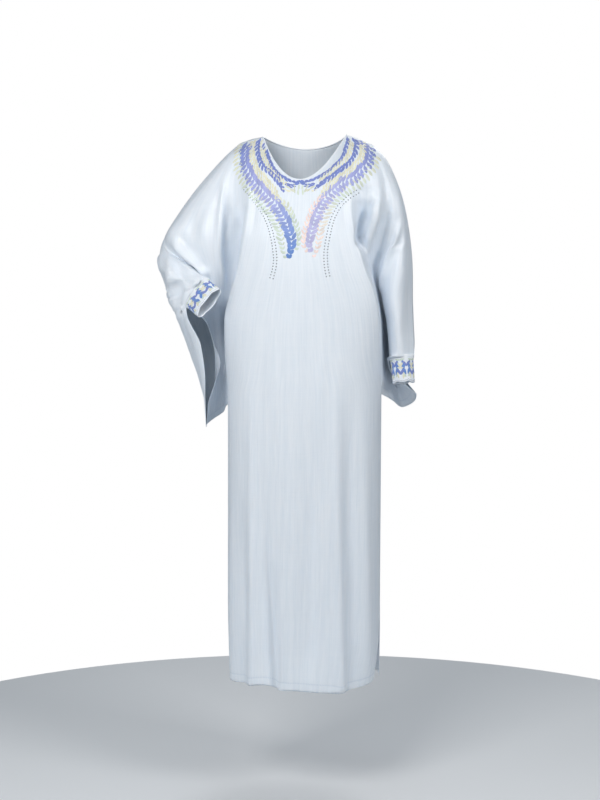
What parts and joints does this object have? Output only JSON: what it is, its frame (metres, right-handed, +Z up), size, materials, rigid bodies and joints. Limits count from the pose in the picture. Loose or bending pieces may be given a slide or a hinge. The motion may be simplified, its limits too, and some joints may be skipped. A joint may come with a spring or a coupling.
{
  "type": "batwing boubou kaftan robe",
  "caption": "Long robe in pale satin with wide batwing sleeves gathered into narrow scalloped cuffs, a piped scoop neckline and a side slit, in its hollow worn form, one arm bent.",
  "frame": {"origin": "middle of the shoulder line between the two sides of the neck opening, where the wearer's shoulders hold the robe", "axes": "+Z up, the wearer faces -Y, +X is the wearer's left, which is the side of the hanging arm"},
  "size_m": [0.6603, 0.36, 1.3589],
  "materials": {
    "satin": "soft satin with a fine crinkled vertical weave",
    "cuff": "satin covered with thread embroidery",
    "piping": "satin binding"
  },
  "bodies": {
    "root": {"front": "satin", "back": "satin", "cuff_bent_arm": "cuff", "cuff_hanging_arm": "cuff", "neck_piping": "piping"}
  },
  "joints": []
}
